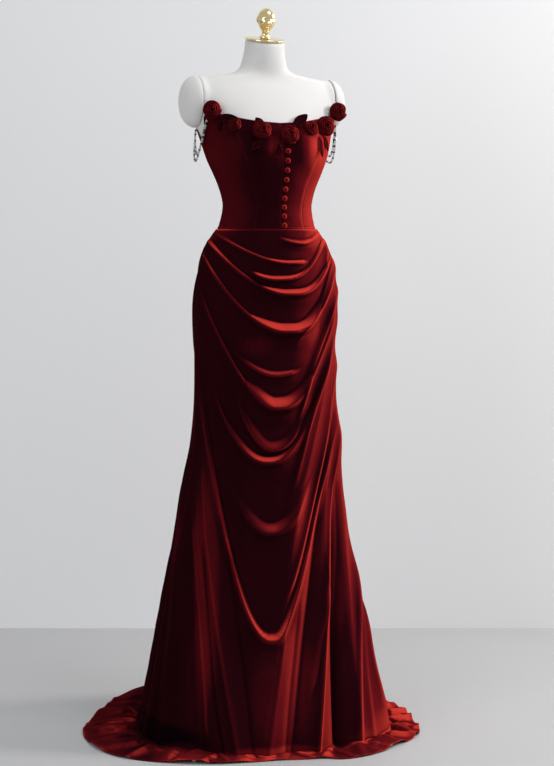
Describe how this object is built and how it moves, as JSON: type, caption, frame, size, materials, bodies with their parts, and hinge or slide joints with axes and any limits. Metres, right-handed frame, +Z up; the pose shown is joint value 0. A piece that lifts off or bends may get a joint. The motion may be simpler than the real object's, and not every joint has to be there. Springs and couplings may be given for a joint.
{
  "type": "prom dress on dress form",
  "caption": "Strapless velvet prom dress with a panelled bodice, rose trim, a cowl-draped skirt and a short train, on a limbless dress form with a gold stand.",
  "frame": {"origin": "middle of the underside of the stand's flat four-legged foot, on the floor", "axes": "+Z up, the wearer's front faces -Y, the wearer's left is +X"},
  "size_m": [0.8147, 0.863, 1.721],
  "materials": {
    "velvet": "deep burgundy velvet with a red sheen",
    "form_cover": "off-white, satin",
    "gilt": "polished gold plating",
    "crystal": "clear and dark faceted beads"
  },
  "bodies": {
    "root": {"form_torso": "form_cover", "form_arm_cap_right": "form_cover", "form_arm_cap_left": "form_cover", "neck_plate": "gilt", "finial_stem": "gilt", "finial_head": "gilt", "stand_pole": "gilt", "stand_legs": "gilt", "stand_hub": "gilt", "bodice_front_right": "velvet", "bodice_side_front_right": "velvet", "bodice_side_back_right": "velvet", "bodice_back_right": "velvet", "bodice_front_left": "velvet", "bodice_side_front_left": "velvet", "bodice_side_back_left": "velvet", "bodice_back_left": "velvet", "skirt_front_drape": "velvet", "skirt_side_front": "velvet", "skirt_back_left": "velvet", "skirt_back_right": "velvet", "rose_1": "velvet", "rose_2": "velvet", "rose_3": "velvet", "rose_4": "velvet", "rose_5": "velvet", "rose_6": "velvet", "rose_7": "velvet", "leaf_1": "velvet", "leaf_2": "velvet", "leaf_3": "velvet", "leaf_4": "velvet", "leaf_5": "velvet", "leaf_6": "velvet", "button_1": "velvet", "button_2": "velvet", "button_3": "velvet", "button_4": "velvet", "button_5": "velvet", "button_6": "velvet", "button_7": "velvet", "button_8": "velvet", "button_9": "velvet", "bead_strand_right_outer": "crystal", "bead_strand_right_inner": "crystal", "bead_strand_left_outer": "crystal", "bead_strand_left_inner": "crystal"}
  },
  "joints": []
}
